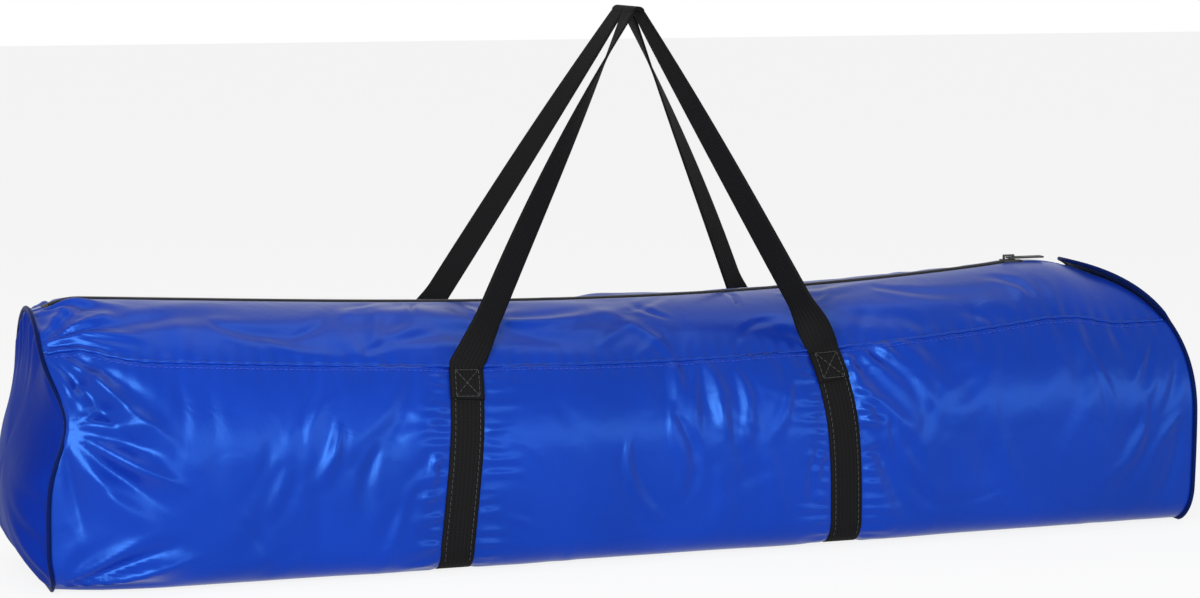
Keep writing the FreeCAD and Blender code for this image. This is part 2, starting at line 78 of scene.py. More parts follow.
# ------------------------------------------------------------------ sizes of the filled bag
WALL_Z = 0.092                 # where the upright wall starts to lean in
SEAM_ANGLE = math.radians(34)
BASE_CORNER = 0.019            # the filled bag rounds its base edges more than the pattern does
MOUTH_HALF = 0.0065            # from the middle of the zip to the edge of the crown fabric
CROWN_SPAN = 0.085             # the crown fabric, from seam to zip
SAG = 0.016
SAG_FROM_X = LEFT_X + 0.035
SAG_TO_X = 0.335
PINCH = 0.021                  # how much each side draws in at the left end
BELLY = 0.003                  # how much each side fills out at the middle
BELLY_SPAN = 0.46              # from that middle to where the filling out ends
SWELL = 0.0035                 # how much the wall bows outward between seam and base
LEFT_DROOP = 0.009             # the crown drops a little at both of its ends
RIGHT_DROOP = 0.006
SLUMP_RADIUS = 0.1297
FULLNESS = 2.9                 # 2 would be the pattern's round arc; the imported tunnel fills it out
SLUMP_CENTRE = (RIGHT_X - SLUMP_RADIUS, 0.081)
LEFT_SAMPLE_X = LEFT_X + 0.010     # sections that the rims of the two ends follow
RIGHT_SAMPLE_X = 0.40
CROWN_SAMPLE_X = 0.37
GATHER_POINT = (LEFT_X + 0.014, 0.045)     # where the left rim is gathered: x, distance from the seam
NOTCH_Z = 0.126                # the height of that gather, its depth and its reach
NOTCH_DEPTH = 0.015
NOTCH_REACH = 0.032
GATHER_PULL = 2.7              # how strong the facets are at the gather and at the two corners
CORNER_PULL = 2.3
RIM_FADE = 0.006               # wrinkles fade out this close to a rim
BULGE = 0.024                  # how far the left end panel stands out
PIPING_RADIUS = 0.0016
PIPING_OUT = 0.0006            # how far the piping's middle stands off the fabric
PIPING_Z = 0.0022              # the piping's middle comes no lower than this, just clear of the floor
APEX_X = 0.010
APEX_Y = 0.0128
APEX_RADIUS = 0.0042           # the webbing turns over the top in this radius

FABRIC = 0.0008
STRAP_THICK = 0.0016
STRAP_LIFT = 0.0004            # webbing lies this far off the fabric
FOOT_LENGTH = 0.026            # the handle's foot is sewn to its band over this length
STITCH_LIFT = 0.0001           # thread lies this far off the webbing
STITCH_INSET = 0.003           # a row of stitches lies this far in from the webbing's edge
LOFT_POINTS = 160              # sections along a bar that follows the crown
STEP = 0.0025                  # grid of the fabric
FABRIC_LENGTH = 0.92
SEAM_SEED = 5                  # both sides of a seam ripple alike
TOP_ROWS = 36                  # grid rows of each crown panel
END_RINGS = 40
RIM_CROWN_POINTS = 30
RIM_WALL_POINTS = 90
STITCH_PITCH = 0.0042
STOP_LENGTH = 0.005            # from the coil's end to the zip's end tab
COIL_PITCH = 0.0016


# ------------------------------------------------------------------ small helpers
def smooth(low, high, value):
    """0 at low, 1 at high and an even ease between."""
    t = np.clip((value - low) / (high - low), 0, 1)
    return t * t * (3 - 2 * t)


def unit(way):
    """A way at length 1."""
    return way / np.linalg.norm(way)


def unit_rows(ways):
    """Each row at length 1."""
    return ways / np.linalg.norm(ways, axis=1)[:, None]


def add_object(name, data):
    """A mesh, a lamp or a camera as an object in the scene."""
    obj = bpy.data.objects.new(name, data)
    bpy.context.scene.collection.objects.link(obj)
    return obj


def shade_smooth(mesh):
    mesh.polygons.foreach_set("use_smooth", [True] * len(mesh.polygons))


def grid_mesh(name, points, closed_rows=False, closed_columns=False, uv=None):
    """A quad mesh from an array of rows x columns x 3."""
    rows, columns = points.shape[:2]
    index = np.arange(rows * columns).reshape(rows, columns)
    if closed_rows:
        index = np.vstack([index, index[:1]])
    if closed_columns:
        index = np.hstack([index, index[:, :1]])
    faces = np.stack([index[:-1, :-1], index[1:, :-1], index[1:, 1:], index[:-1, 1:]], axis=-1)
    mesh = bpy.data.meshes.new(name)
    mesh.from_pydata(points.reshape(-1, 3).tolist(), [], faces.reshape(-1, 4).tolist())
    if uv is not None:
        layer = mesh.uv_layers.new(name="UVMap")
        flat = uv.reshape(-1, 2)
        corners = np.empty(len(mesh.loops), dtype=np.int64)
        mesh.loops.foreach_get("vertex_index", corners)
        layer.data.foreach_set("uv", flat[corners].ravel())
    mesh.update()
    shade_smooth(mesh)
    return add_object(name, mesh)


def apply_modifiers(obj):
    """Replace an object's mesh by what its modifiers make of it."""
    depsgraph = bpy.context.evaluated_depsgraph_get()
    mesh = bpy.data.meshes.new_from_object(obj.evaluated_get(depsgraph))
    obj.modifiers.clear()
    obj.data = mesh
    shade_smooth(mesh)


def thicken(obj, thickness, offset=-1):
    """Give a sheet its thickness, on the side that offset says."""
    solid = obj.modifiers.new("thick", "SOLIDIFY")
    solid.thickness = thickness
    solid.offset = offset
    apply_modifiers(obj)


def dress(obj, material):
    """Give an object one material."""
    obj.data.materials.clear()
    obj.data.materials.append(material)


def finish_piece(obj, slot, *nodes, material=None):
    """Give a piece of the bag the material of its slot (or the material passed), hang it under the bag, and
    hide the CAD nodes it stands for.
    """
    dress(obj, material or MATERIALS[slot])
    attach(obj, "bag")
    if nodes:
        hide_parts(*nodes)
    return obj


# ------------------------------------------------------------------ the bag's shape
def sag(x):
    """How far the crown hangs below its ends."""
    t = np.clip((x - SAG_FROM_X) / (SAG_TO_X - SAG_FROM_X), 0, 1)
    return SAG * np.sin(math.pi * t ** 1.2) ** 0.85


def half_width(x):
    """From the middle of the bag to its wall, drawn in at the left end and full at the middle."""
    pinch = PINCH * (1 - smooth(-0.01, 0.085, x - LEFT_X)) ** 1.2
    belly = BELLY * np.cos((x - 0.02) / BELLY_SPAN * math.pi / 2)
    return HALF_WIDTH - 0.002 + belly - pinch


def crown_height(x):
    """The top of the crown: it sags between its ends and drops a little at each."""
    droop = LEFT_DROOP * (1 - smooth(0, 0.045, x - LEFT_X)) ** 1.4
    droop = droop + RIGHT_DROOP * smooth(0.352, 0.405, x) ** 1.5
    return TOP_Z + 0.001 - sag(x) - droop


def section_sizes(x):
    """The section's half width, top, height of the wall's start, and the two arcs' radii."""
    width = half_width(x)
    height = crown_height(x)
    c, s = math.cos(SEAM_ANGLE), math.sin(SEAM_ANGLE)
    wall_z = WALL_Z - 0.4 * (TOP_Z - height)
    spread = (height - wall_z - width) / (1 - c - s)
    wall_radius = width - spread * c
    crown_radius = wall_radius + spread
    return width, height, wall_z, wall_radius, crown_radius


def crown_point(x, part):
    """A point of the front crown, from the zip's edge (part 0) to the seam (part 1): y, z and the
    outward way there (ny, nz)."""
    width, height, wall_z, wall_radius, crown_radius = section_sizes(x)
    edge = math.pi / 2 - np.arcsin(MOUTH_HALF / crown_radius)
    angle = edge + (SEAM_ANGLE - edge) * part
    centre = height - crown_radius
    ny, nz = -np.cos(angle), np.sin(angle)
    return crown_radius * ny, centre + crown_radius * nz, ny, nz


def wall_lengths():
    """Lengths along the front of the main panel, from seam to base middle."""
    width, height, wall_z, wall_radius, crown_radius = section_sizes(np.array(0.0))
    arc = float(wall_radius) * SEAM_ANGLE
    upright = float(wall_z) - BASE_Z - BASE_CORNER
    corner = BASE_CORNER * math.pi / 2
    base = float(width) - BASE_CORNER
    return np.array([arc, upright, corner, base])


LENGTHS = wall_lengths()
HALF_GIRTH = LENGTHS.sum()


def main_point(x, s):
    """A point of the main panel, s being the distance from the seam, down the front and under to
    the base's middle: y, z and the outward way there (ny, nz)."""
    width, height, wall_z, wall_radius, crown_radius = section_sizes(x)
    a, b, c, d = np.cumsum(LENGTHS)
    x, s = np.broadcast_arrays(x, s)
    width, wall_z, wall_radius = (np.broadcast_to(v, s.shape) for v in (width, wall_z, wall_radius))
    y = np.zeros(s.shape)
    z = np.zeros(s.shape)
    ny = np.zeros(s.shape)
    nz = np.zeros(s.shape)
    angle = SEAM_ANGLE * (1 - s / a)
    arc = s <= a
    y[arc] = -(width - wall_radius + wall_radius * np.cos(angle))[arc]
    z[arc] = (wall_z + wall_radius * np.sin(angle))[arc]
    ny[arc] = -np.cos(angle)[arc]
    nz[arc] = np.sin(angle)[arc]
    up = (s > a) & (s <= b)
    t = (s - a) / (b - a)
    y[up] = -width[up]
    z[up] = (wall_z + (BASE_Z + BASE_CORNER - wall_z) * t)[up]
    ny[up] = -1
    turn = (s > b) & (s <= c)
    angle = (s - b) / (c - b) * math.pi / 2
    y[turn] = -(width - BASE_CORNER + BASE_CORNER * np.cos(angle))[turn]
    z[turn] = (BASE_Z + BASE_CORNER - BASE_CORNER * np.sin(angle))[turn]
    ny[turn] = -np.cos(angle)[turn]
    nz[turn] = -np.sin(angle)[turn]
    flat = s > c
    t = (s - c) / (d - c)
    y[flat] = -((width - BASE_CORNER) * (1 - t))[flat]
    z[flat] = BASE_Z
    nz[flat] = -1
    swell = SWELL * np.sin(np.clip(s / c, 0, 1) * math.pi) ** 1.2
    return y + ny * swell, z + nz * swell, ny, nz


# ------------------------------------------------------------------ wrinkles, on the unrolled fabric
def fold(x, s, start, end, height, width, bend=0.0, sharp=1.0):
    """A ridge (or groove, if height < 0) from start to end in (x, s), fading at its far end."""
    (x0, s0), (x1, s1) = start, end
    length = math.hypot(x1 - x0, s1 - s0)
    ux, us = (x1 - x0) / length, (s1 - s0) / length
    along = ((x - x0) * ux + (s - s0) * us) / length
    across = -(x - x0) * us + (s - s0) * ux - bend * length * along * (1 - along) * 4
    inside = np.clip(along, 0, 1)
    taper = np.sin(inside ** (1 / sharp) * math.pi) ** 0.8
    taper = np.where((along < 0) | (along > 1), 0, taper)
    spread = width * (0.6 + 0.8 * inside)
    ridge = np.exp(-(across / spread) ** 2)
    dips = np.exp(-((np.abs(across) - 1.9 * spread) / spread) ** 2)
    return height * taper * (ridge - 0.35 * dips)


def gather(x, s, centre, reach, height, count, first, last, seed, width=0.004):
    """Folds that run out from one gathered point, at angles from first to last."""
    rng = random.Random(seed)
    clear = 0.006
    total = np.zeros(np.broadcast(x, s).shape)
    for k in range(count):
        angle = math.radians(first + (last - first) * (k + rng.uniform(-0.3, 0.3)) / max(1, count - 1))
        length = reach * rng.uniform(0.6, 1.15)
        start = (centre[0] + clear * math.cos(angle), centre[1] + clear * math.sin(angle))
        end = (centre[0] + length * math.cos(angle), centre[1] + length * math.sin(angle))
        sign = 1 if k % 2 else -0.9
        fold_height = sign * height * rng.uniform(0.6, 1.1)
        fold_width = width * rng.uniform(0.8, 1.5)
        total += fold(x, s, start, end, fold_height, fold_width, rng.uniform(-0.08, 0.08), 2.2)
    return total


def facets(x, s, centre, angles, slopes, reaches):
    """Flat facets with crisp creases that fan out from a gathered point, as pulled fabric does.
    Each crease has its angle, how steeply it rises away from the point, and how far it reaches."""
    dx, ds = x - centre[0], s - centre[1]
    distance = np.hypot(dx, ds)
    angle = np.degrees(np.arctan2(ds, dx))
    slope = np.interp(angle, angles, slopes)
    reach = np.interp(angle, angles, reaches)
    fade = smooth(1.0, 0.35, distance / reach)
    return slope * distance * fade


def corner_facets(x, s, seed):
    """The three fans of facets at the left rim: from its gather and from its two corners."""
    rng = random.Random(seed)

    def uneven(strength, slopes):
        return [strength * slope * rng.uniform(0.85, 1.15) for slope in slopes]

    angles = (-90, -74, -60, -47, -30, -16, -4, 10, 22, 34, 50, 64, 78, 90)
    slopes = (0, 0.05, -0.03, 0.055, 0.02, -0.05, 0.03, -0.045, 0.06, -0.055, 0.045, 0.01, -0.05, 0)
    reaches = (0.05, 0.05, 0.055, 0.07, 0.075, 0.07, 0.08, 0.085, 0.105, 0.10, 0.09, 0.075, 0.08, 0.05)
    total = facets(x, s, GATHER_POINT, angles, uneven(GATHER_PULL, slopes), reaches)
    top = (LEFT_X + 0.004, -0.004)
    angles = (-60, -30, -12, 4, 20, 32, 44, 58, 75, 90)
    slopes = (0, 0.02, -0.03, 0.03, -0.03, 0.05, -0.05, 0.03, -0.02, 0)
    reaches = (0.03, 0.05, 0.07, 0.08, 0.09, 0.115, 0.10, 0.07, 0.04, 0.03)
    total += facets(x, s, top, angles, uneven(CORNER_PULL, slopes), reaches)
    low = (LEFT_X + 0.004, LENGTHS[:3].sum() - 0.012)
    angles = (-90, -62, -44, -30, -20, -12, -2, 12, 40)
    slopes = (0, 0.03, -0.03, 0.03, -0.045, 0.06, -0.04, 0.02, 0)
    reaches = (0.03, 0.05, 0.06, 0.09, 0.11, 0.12, 0.10, 0.07, 0.03)
    return total + facets(x, s, low, angles, uneven(CORNER_PULL, slopes), reaches)


def band_lean(side, s):
    """How far along the bag a band is from its place at the base: it leans in towards the handles."""
    way = 1 if side == "left" else -1
    rise = 1 - np.clip(s / LENGTHS[:2].sum(), 0, 1)
    bow = 0.003 * np.sin(rise * math.pi) if side == "right" else 0
    return way * (-0.006 + 0.0125 * rise) + bow


def band_centre(side, s):
    """Where the middle of a band is along the bag, at a distance from the seam."""
    return BAND_X[side] + band_lean(side, s)


def puckers(x, s, side, seed):
    """Short level folds that the sewn webbing draws into the fabric on both of its sides."""
    rng = random.Random(seed)
    total = np.zeros(np.broadcast(x, s).shape)
    level = 0.012
    while level < LENGTHS[:3].sum():
        for way in (-1, 1):
            centre = float(band_centre(side, level)) + way * STRAP * 0.5
            length = rng.uniform(0.014, 0.036)
            rise = rng.uniform(-0.006, 0.006)
            start = (centre - way * 0.003, level)
            end = (centre + way * length, level + rise)
            height = rng.uniform(0.0012, 0.0026)
            width = rng.uniform(0.0018, 0.0032)
            total += fold(x, s, start, end, height, width, 0, 2.5)
        level += rng.uniform(0.007, 0.013)
    return total


def cinch(x, s):
    """The fabric dips under each band and swells a little away from it."""
    total = 0
    for side in ("left", "right"):
        away = np.abs(x - band_centre(side, s))
        dip = 0.0022 * np.exp(-(away / 0.020) ** 2)
        swell = 0.0012 * np.exp(-((away - 0.05) / 0.03) ** 2)
        total = total - dip + swell
    return total


def waves(x, s, seed, count, shortest, longest, height, angle_low, angle_high, area):
    """Soft shallow folds scattered over an area (x from, x to, s from, s to)."""
    rng = random.Random(seed)
    total = np.zeros(np.broadcast(x, s).shape)
    for _ in range(count):
        cx, cs = rng.uniform(area[0], area[1]), rng.uniform(area[2], area[3])
        angle = math.radians(rng.uniform(angle_low, angle_high))
        length = rng.uniform(shortest, longest)
        dx, ds = math.cos(angle) * length / 2, math.sin(angle) * length / 2
        start, end = (cx - dx, cs - ds), (cx + dx, cs + ds)
        fold_height = rng.choice((-1, 1)) * height * rng.uniform(0.5, 1.2)
        fold_width = length * rng.uniform(0.045, 0.10)
        total += fold(x, s, start, end, fold_height, fold_width, rng.uniform(-0.16, 0.16), 1.6)
    return total


def wall_relief(x, s, front):
    """All the folds of one side of the main panel."""
    seed = 3 if front else 41
    total = corner_facets(x, s, seed + 1)
    total += gather(x, s, GATHER_POINT, 0.05, 0.0011, 11, -80, 80, seed + 2, 0.0016)
    total += puckers(x, s, "left", seed + 4) + puckers(x, s, "right", seed + 5)
    # how many, shortest, longest, height, lowest and highest angle, area
    total += waves(x, s, seed + 6, 11, 0.06, 0.13, 0.0026, 48, 74, (0.175, 0.255, 0.0, 0.10))
    total += waves(x, s, seed + 7, 16, 0.05, 0.11, 0.0022, 62, 116, (-0.02, 0.135, 0.0, 0.10))
    total += waves(x, s, seed + 12, 9, 0.05, 0.10, 0.0019, 98, 140, (-0.27, -0.17, 0.01, 0.09))
    total += waves(x, s, seed + 8, 16, 0.06, 0.14, 0.0009, 40, 130, (0.27, 0.43, 0.0, 0.15))
    total += waves(x, s, seed + 9, 14, 0.06, 0.14, 0.0008, 30, 150, (-0.40, -0.19, 0.0, 0.15))
    total += waves(x, s, seed + 10, 26, 0.03, 0.08, 0.0006, 0, 180, (-0.42, 0.42, 0.0, 0.17))
    total += waves(x, s, seed + 11, 7, 0.04, 0.08, 0.0015, 105, 135, (0.39, 0.44, 0.02, 0.12))
    for side in ("left", "right"):
        total = total * smooth(0.012, 0.018, np.abs(x - band_centre(side, s)))
    return total * smooth(-0.002, 0.010, s) + cinch(x, s)


def seam_ripple(x, s, seed):
    """Small ripples that the stitching draws in along a seam, at s = 0."""
    rng = random.Random(seed)
    phase = np.zeros(np.shape(x))
    for _ in range(5):
        phase = phase + rng.uniform(0.5, 1.5) * np.sin(x / rng.uniform(0.02, 0.09) + rng.uniform(0, 6))
    return 0.0007 * np.sin(x / 0.0021 + phase) * np.exp(-np.abs(s) / 0.008)


def crown_relief(x, s, seed):
    """Folds of the crown; s runs from 0 at the seam up to the zip."""
    total = waves(x, s, seed, 34, 0.03, 0.09, 0.0010, 20, 160, (-0.42, 0.34, 0.0, CROWN_SPAN))
    total += waves(x, s, seed + 1, 12, 0.08, 0.16, 0.0016, -14, 14, (-0.40, 0.30, 0.01, CROWN_SPAN))
    total += gather(x, s, (LEFT_X + 0.004, 0.01), 0.10, 0.0030, 6, -12, 70, seed + 2)
    total += gather(x, s, (LEFT_X + 0.004, 0.08), 0.09, 0.0024, 5, -70, 8, seed + 3)
    return total * smooth(-0.002, 0.010, s)


def profile_x(z):
    """The slumped end's outline: how far right the bag reaches at a height."""
    rise = np.clip(z - SLUMP_CENTRE[1], 0, SLUMP_RADIUS) / SLUMP_RADIUS
    return SLUMP_CENTRE[0] + SLUMP_RADIUS * (1 - rise ** FULLNESS) ** (1 / FULLNESS)


def right_limit(z):
    """The right rim follows the slumped outline and rounds off at its base."""
    return profile_x(z) - 0.004 * smooth(0.03, 0.0, z)


def left_limit(y, z):
    """The left rim is drawn in where its front is gathered, and rounds off at its base."""
    drawn = NOTCH_DEPTH * np.exp(-((z - NOTCH_Z) / NOTCH_REACH) ** 2) * smooth(0.02, -0.08, y)
    return LEFT_X + 0.004 + drawn + 0.004 * smooth(0.03, 0.0, z)


def x_grid(y_left, z_left, z_right, across):
    """x for each grid point: from the left rim to the right rim of its own row."""
    start = left_limit(y_left, z_left)
    stop = right_limit(z_right)
    return start + (stop - start) * across


# ------------------------------------------------------------------ fabric panels
def rim_fade(x):
    """1 over a panel's grid, and 0 along its left and right edges."""
    return smooth(0, RIM_FADE, x - x[:, :1]) * smooth(0, RIM_FADE, x[:, -1:] - x)


def make_main_panel():
    """The panel under the load, from the front seam round the base to the rear seam."""
    columns = int(FABRIC_LENGTH / STEP)
    rows = int(2 * HALF_GIRTH / STEP)
    across = np.linspace(0, 1, columns)[None, :]
    travel = np.linspace(0, 2 * HALF_GIRTH, rows)[:, None]
    front = travel <= HALF_GIRTH
    s = np.where(front, travel, 2 * HALF_GIRTH - travel)
    y_left, z_left, _, _ = main_point(np.full_like(s, LEFT_SAMPLE_X), s)
    y_left = np.where(front, y_left, -y_left)
    _, z_right, _, _ = main_point(np.full_like(s, RIGHT_SAMPLE_X), s)
    x = x_grid(y_left, z_left, z_right, across)
    s = np.broadcast_to(s, x.shape)
    y, z, ny, nz = main_point(x, s)
    relief = np.where(front, wall_relief(x, s, True), wall_relief(x, s, False))
    relief = relief + seam_ripple(x, s, SEAM_SEED)
    on_floor = smooth(LENGTHS[:3].sum() + 0.02, LENGTHS[:3].sum() - 0.03, s)
    relief = relief * on_floor * rim_fade(x)
    y = np.where(front, y + ny * relief, -(y + ny * relief))
    z = np.maximum(z + nz * relief, BASE_Z)
    return finish_cloth("main_panel", x, y, z, travel)


def finish_cloth(node, x, y, z, travel, offset=-1):
    """A fabric panel from its grid; travel is the distance across it, for its weave."""
    points = np.stack([x, y, z], axis=-1)
    uv = np.stack([x, np.broadcast_to(travel, x.shape)], axis=-1)
    obj = grid_mesh("bag_" + node, points, uv=uv)
    thicken(obj, FABRIC, offset)
    return finish_piece(obj, "bag_fabric", node)


def make_top_panel(side):
    """The crown fabric on one side of the zip: side -1 is the front, 1 the rear."""
    columns = int(FABRIC_LENGTH / STEP)
    across = np.linspace(0, 1, columns)[None, :]
    part = np.linspace(0, 1, TOP_ROWS)[:, None]
    y_left, z_left, _, _ = crown_point(np.full_like(part, LEFT_SAMPLE_X), part)
    _, z_right, _, _ = crown_point(np.full_like(part, CROWN_SAMPLE_X), part)
    x = x_grid(-side * y_left, z_left, z_right, across)
    part = np.broadcast_to(part, x.shape)
    y, z, ny, nz = crown_point(x, part)
    s = (1 - part) * CROWN_SPAN
    relief = crown_relief(x, s, 60 if side < 0 else 80) + seam_ripple(x, s, SEAM_SEED)
    relief = relief * rim_fade(x) * smooth(0, 0.01, CROWN_SPAN - s)
    y, z = y + ny * relief, z + nz * relief
    node = "front_top_panel" if side < 0 else "rear_top_panel"
    return finish_cloth(node, x, -side * y, z, s, side)


def rim_points(end):
    """The closed rim of one end, from the crown's middle round by the front: rows of x, y, z and
    the outward way (ny, nz)."""
    crown_x, wall_x = CROWN_SAMPLE_X, RIGHT_SAMPLE_X
    if end == "left":
        crown_x = wall_x = LEFT_SAMPLE_X
    girth = []
    for side in (-1, 1):
        half = []
        part = np.linspace(0, 1, RIM_CROWN_POINTS)
        y, z, ny, nz = crown_point(np.full_like(part, crown_x), part)
        half += list(zip(y, z, ny, nz))
        s = np.linspace(0, HALF_GIRTH, RIM_WALL_POINTS)[1:]
        y, z, ny, nz = main_point(np.full_like(s, wall_x), s)
        half += list(zip(y, z, ny, nz))
        half = [(-side * y, z, -side * ny, nz) for y, z, ny, nz in half]
        girth.append(half)
    loop = girth[0] + girth[1][::-1][1:]
    out = []
    for y, z, ny, nz in loop:
        x = float(left_limit(y, z)) if end == "left" else float(right_limit(z))
        out.append((x, y, z, ny, nz))
    return np.array(out)


def make_end_panel(end):
    """An end of the bag, in rings from its middle (share 0) out to its rim (share 1)."""
    rim = rim_points(end)
    middle_z = 0.095
    share = (np.linspace(0, 1, END_RINGS) ** 0.9)[:, None]
    y = rim[:, 1][None, :] * share
    z = middle_z + (rim[:, 2][None, :] - middle_z) * share
    turn = np.linspace(0, 2 * math.pi, rim.shape[0])[None, :]
    if end == "left":
        bulge = BULGE * (1 - share ** 4) * np.exp(-((z - 0.055) / 0.085) ** 2)
        x = left_limit(y, z) - bulge + 0.002 * np.sin(4 * turn + 1) * share * (1 - share)
        fan = np.sin(17 * turn + 2.2 * np.sin(3 * turn)) * np.exp(-((1 - share) / 0.28) ** 2)
        x = x + 0.0022 * fan * smooth(1.0, 0.93, share)
    else:
        x = right_limit(z)
        x = x + 0.002 * np.sin(share * math.pi) * (0.6 + 0.4 * np.sin(2 * turn))
        x = x + 0.0014 * np.sin(9 * turn + 4 * share) * share * (1 - share) * 4
    points = np.stack([x, y, z], axis=-1)
    obj = grid_mesh("bag_%s_end" % end, points, closed_columns=True, uv=np.stack([y, z], axis=-1))
    return finish_piece(obj, "end_fabric", end + "_end_panel")


def tube_along(name, centres, radius, sides=10, closed=True, reference=(1.0, 0.03, 0.02)):
    """A round cord of fixed radius along an array of points; reference is nowhere along them."""
    centres = np.asarray(centres)
    ahead = np.roll(centres, -1, axis=0) - np.roll(centres, 1, axis=0)
    if not closed:
        ahead[0] = centres[1] - centres[0]
        ahead[-1] = centres[-1] - centres[-2]
    ahead = unit_rows(ahead)
    first = unit_rows(np.cross(ahead, np.array(reference)))
    second = np.cross(ahead, first)
    angles = np.linspace(0, 2 * math.pi, sides, endpoint=False)
    around = np.cos(angles)[None, :, None] * first[:, None, :]
    around = around + np.sin(angles)[None, :, None] * second[:, None, :]
    points = centres[:, None, :] + radius * around
    return grid_mesh(name, points, closed_rows=closed, closed_columns=True)


def make_piping(end):
    """The round cord that stands along an end's rim; points less than 2 mm apart are left out."""
    x, y, z, ny, nz = rim_points(end).T
    centres = np.stack([x, y + ny * PIPING_OUT, np.maximum(z + nz * PIPING_OUT, PIPING_Z)], axis=-1)
    keep = [0]
    for k in range(1, len(centres) - 1):
        if np.linalg.norm(centres[k] - centres[keep[-1]]) > 0.002:
            keep.append(k)
    obj = tube_along("bag_%s_piping" % end, centres[keep], PIPING_RADIUS)
    return finish_piece(obj, "piping", end + "_end_piping")


# ------------------------------------------------------------------ webbing
def ribbon(name, centres, wide, thick_way, width, thickness, steps=8):
    """A flat strap with softly rounded edges: its centres (n x 3), and the unit ways of its width
    and of its thickness at each of them."""
    half, deep = width / 2, thickness / 2
    edge, lip = half + deep * 0.5, deep * 0.3
    profile = [(-half + width * k / steps, deep) for k in range(steps + 1)]
    profile += [(edge, lip), (edge, -lip)]
    profile += [(half - width * k / steps, -deep) for k in range(steps + 1)]
    profile += [(-edge, -lip), (-edge, lip)]
    across, rise = np.array(profile).T
    points = centres[:, None, :] + across[None, :, None] * wide[:, None, :]
    points = points + rise[None, :, None] * thick_way[:, None, :]
    travel = np.concatenate([[0], np.cumsum(np.linalg.norm(np.diff(centres, axis=0), axis=1))])
    uv = np.stack(np.broadcast_arrays(across[None, :], travel[:, None]), axis=-1)
    obj = grid_mesh(name, points, closed_columns=True, uv=uv)
    return close_ends(obj, points.shape[0], points.shape[1])


def close_ends(obj, rows, columns):
    """Cap both ends of a tube-like grid."""
    work = bmesh.new()
    work.from_mesh(obj.data)
    work.verts.ensure_lookup_table()
    work.faces.new([work.verts[k] for k in range(columns)][::-1])
    work.faces.new([work.verts[(rows - 1) * columns + k] for k in range(columns)])
    bmesh.ops.recalc_face_normals(work, faces=work.faces)
    work.to_mesh(obj.data)
    work.free()
    return obj


def girth_place(travel):
    """Which side (-1 front, 1 rear) and what distance from its seam lies this far round the girth."""
    if travel <= HALF_GIRTH:
        return -1, travel
    return 1, 2 * HALF_GIRTH - travel


def skin_point(side_y, x, s, lift):
    """A point lifted off the fabric, and the outward way there: side_y is -1 front, 1 rear."""
    y, z, ny, nz = main_point(np.array([x]), np.array([s]))
    relief = float(cinch(np.array(x), np.array(s)))
    y, z = float(y[0] + ny[0] * (relief + lift)), float(z[0] + nz[0] * (relief + lift))
    return np.array([x, -side_y * y, z]), np.array([0, -side_y * float(ny[0]), float(nz[0])])


def make_band(side):
    """The webbing sewn round the bag, under it from seam to seam."""
    inset = 0.002
    lowest = STRAP_THICK / 2 + 0.0001
    centres, out = [], []
    for travel in np.arange(inset, 2 * HALF_GIRTH - inset, 0.003):
        side_y, s = girth_place(travel)
        x = float(band_centre(side, s))
        point, normal = skin_point(side_y, x, s, STRAP_LIFT + STRAP_THICK / 2)
        point[2] = max(point[2], lowest)
        centres.append(point)
        out.append(normal)
    centres, out = np.array(centres), np.array(out)
    ahead = unit_rows(np.gradient(centres, axis=0))
    wide = unit_rows(np.cross(out, ahead))
    obj = ribbon("bag_%s_band" % side, centres, wide, out, STRAP, STRAP_THICK)
    return finish_piece(obj, "webbing", side + "_band")


# How far each leg of a handle has turned just above its foot, in degrees: 90 is edge on.
TWIST = {("left", -1): 22, ("right", -1): 60, ("left", 1): 62, ("right", 1): 40}


def leg_points(side, side_y, apex):
    """One leg of a handle, from its sewn foot on the band to the top of the loop: its points, and
    the way of its width at each."""
    way = -1 if side == "left" else 1
    lift = STRAP_LIFT + STRAP_THICK * 1.55
    points = []
    for s in np.linspace(FOOT_LENGTH, 0.0, 9):
        point, _ = skin_point(side_y, float(band_centre(side, s)), s, lift)
        points.append(point)
    foot = points[-1]
    top = np.array([apex[0] + way * APEX_RADIUS, apex[1], apex[2] - APEX_RADIUS])
    line = top - foot
    length = np.linalg.norm(line)
    direction = line / length
    ways = [np.array([1.0, 0, 0])] * len(points)
    across = unit(np.array([direction[2], 0, -direction[0]]))
    turned = np.array([0, float(side_y * way), 0])
    foot_twist = TWIST[side, side_y]
    for t in np.linspace(0, 1, 110)[1:]:
        bow = 0.002 * math.sin(t * math.pi) * np.array([way, 0, 0])
        belly = 0.012 * (t * length / 0.03) * math.exp(1 - t * length / 0.03) * 0.35
        points.append(foot + line * t + bow + belly * np.array([0, side_y, 0.0]))
        ease = float(smooth(0, 0.045, t * length))
        turn = math.radians(foot_twist * ease + (90 - foot_twist) * t ** 2.2)
        wide = across * math.cos(turn) + turned * math.sin(turn)
        wide = wide - direction * float(np.dot(wide, direction))
        ways.append(unit(wide))
    return points, ways


